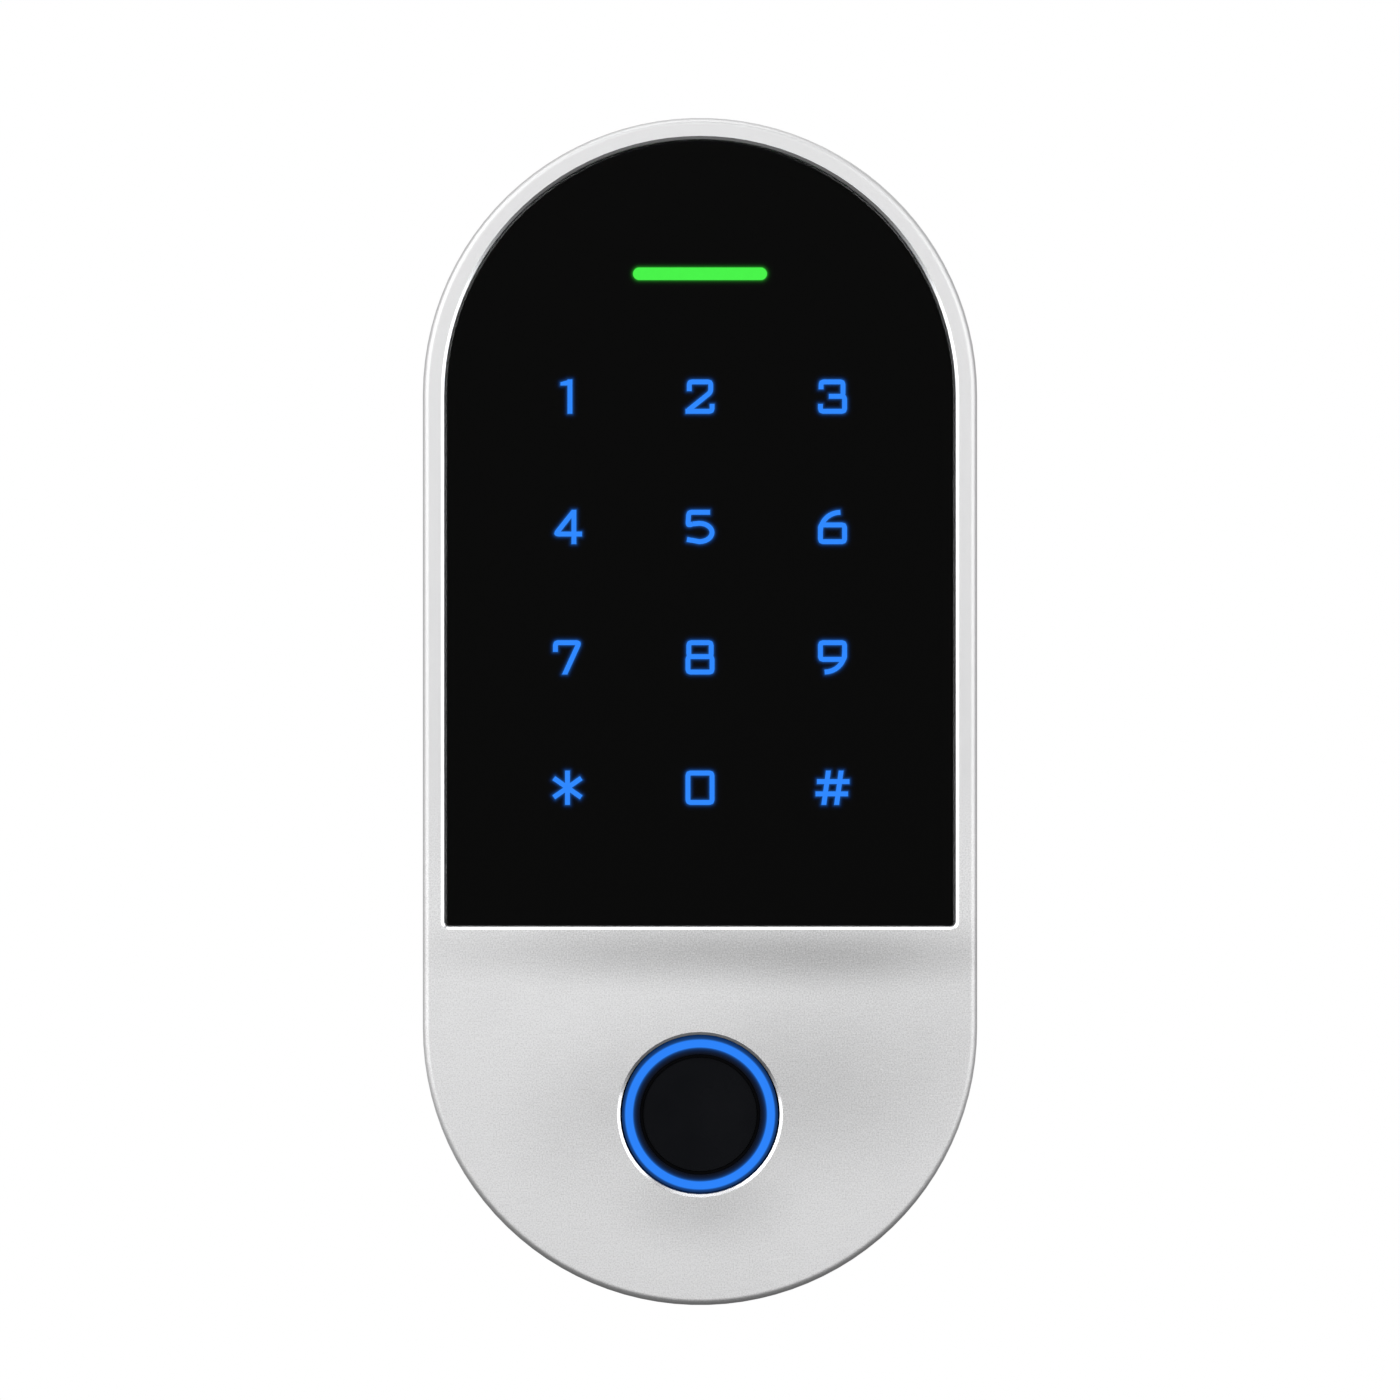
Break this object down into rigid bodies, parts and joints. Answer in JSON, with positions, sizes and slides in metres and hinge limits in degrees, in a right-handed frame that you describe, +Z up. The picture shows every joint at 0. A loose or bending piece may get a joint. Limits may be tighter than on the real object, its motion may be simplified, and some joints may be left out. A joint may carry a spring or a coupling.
{
  "type": "fingerprint terminal",
  "caption": "Wall-mounted metal fingerprint terminal with a lit touch keypad, status bar and ringed sensor, hung on a hooked wall plate.",
  "frame": {"origin": "middle of the wall screw pattern, on the wall plate's back face", "axes": "+X right as seen from the front, +Y into the wall, +Z up; the front faces -Y"},
  "size_m": [0.06, 0.024, 0.1284],
  "materials": {
    "case_metal": "bead-blasted satin",
    "lens_glass": "gloss, printed black behind",
    "black_print": "matt black print",
    "legend_blue": "lit from behind",
    "status_green": "lit from behind",
    "ring_blue": "lit from behind",
    "sensor_ceramic": "satin black",
    "foam_tape": "matt",
    "white_plastic": "matt",
    "black_plastic": "matt",
    "cover_plastic": "fine moulded grain",
    "board_green": "green solder mask",
    "led_white": "matt",
    "chip_black": "matt",
    "relay_orange": "satin",
    "can_aluminium": "satin",
    "brass": "machined",
    "zinc_steel": "zinc plated",
    "screw_steel": "nickel plated",
    "lock_steel": "stainless",
    "seal_rubber": "matt",
    "ribbon_white": "flat cable"
  },
  "bodies": {
    "wall_mount": {"wall_plate": "zinc_steel", "lock_strap": "zinc_steel"},
    "front_unit": {"front_case": "case_metal", "touch_lens": "lens_glass", "lens_adhesive": "foam_tape", "legend_film": "black_print", "legend_1": "legend_blue", "legend_2": "legend_blue", "legend_3": "legend_blue", "legend_4": "legend_blue", "legend_5": "legend_blue", "legend_6": "legend_blue", "legend_7": "legend_blue", "legend_8": "legend_blue", "legend_9": "legend_blue", "legend_star": "legend_blue", "legend_0": "legend_blue", "legend_hash": "legend_blue", "status_light_bar": "status_green", "light_guide": "white_plastic", "keypad_board": "board_green", "key_leds": "led_white", "status_leds": "led_white", "touch_controller": "chip_black", "board_plug": "black_plastic", "board_socket": "black_plastic", "board_standoffs": "brass", "main_board": "board_green", "board_screws": "screw_steel", "processor": "chip_black", "door_relay": "relay_orange", "buzzer": "black_plastic", "capacitors": "can_aluminium", "power_inductor": "chip_black", "cable_header": "white_plastic", "tamper_switch": "black_plastic", "sensor_disc": "sensor_ceramic", "light_ring": "ring_blue", "sensor_housing": "black_plastic", "sensor_seal": "seal_rubber", "sensor_board": "board_green", "sensor_leds": "led_white", "sensor_bracket": "zinc_steel", "bracket_screws": "screw_steel", "ribbon_plug": "white_plastic", "ribbon_cable": "ribbon_white", "ribbon_socket": "white_plastic", "cover_seal": "seal_rubber", "rear_cover": "cover_plastic", "cover_screws": "screw_steel", "cable_grommet": "seal_rubber"},
    "lock_screw": {"lock_screw": "lock_steel"},
    "tamper_plunger": {"tamper_plunger": "white_plastic"}
  },
  "joints": [
    {"name": "case_tilt", "type": "hinge", "parent": "wall_mount", "child": "front_unit", "pos_m": [0, -0.001, 0.06225], "axis": [-1, 0, 0], "range_deg": [0, 20]},
    {"name": "lock_screw_travel", "type": "slide", "parent": "front_unit", "child": "lock_screw", "axis": [0, 0, 1], "range_m": [0, 0.0033]},
    {"name": "tamper_press", "type": "slide", "parent": "front_unit", "child": "tamper_plunger", "axis": [0, -1, 0], "range_m": [0, 0.0005], "stiffness_N_per_m": 60}
  ]
}
